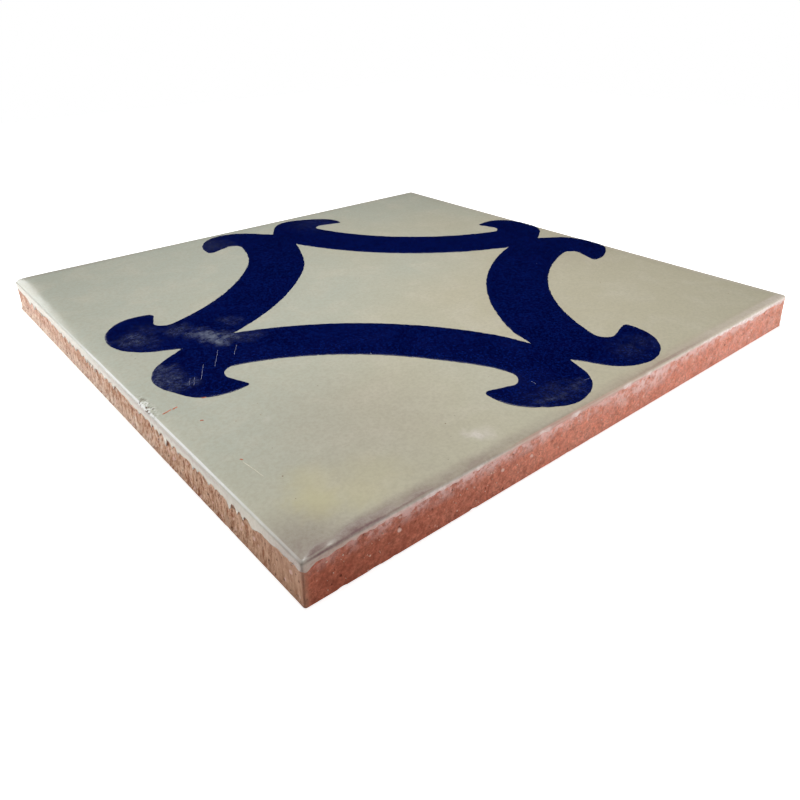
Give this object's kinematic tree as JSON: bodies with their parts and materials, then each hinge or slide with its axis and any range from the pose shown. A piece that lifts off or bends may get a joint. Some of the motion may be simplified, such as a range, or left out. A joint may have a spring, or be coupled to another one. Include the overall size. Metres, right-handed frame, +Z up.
{
  "type": "talavera tile",
  "caption": "Square glazed clay wall tile with a pillowed face and a ring of scrolled brackets in raised blue enamel.",
  "frame": {"origin": "middle of the underside", "axes": "+Z up out of the glazed face, +X and +Y along the sides"},
  "size_m": [0.105, 0.105, 0.0065],
  "materials": {
    "cream_glaze": "glossy cream white tin glaze with soft clouding and pinholes",
    "cobalt_enamel": "glossy dark cobalt blue enamel, scuffed pale in places",
    "terracotta_body": "matt salmon-coloured fired clay, pitted and scored"
  },
  "bodies": {
    "root": {"tile": "cream_glaze"}
  },
  "joints": []
}
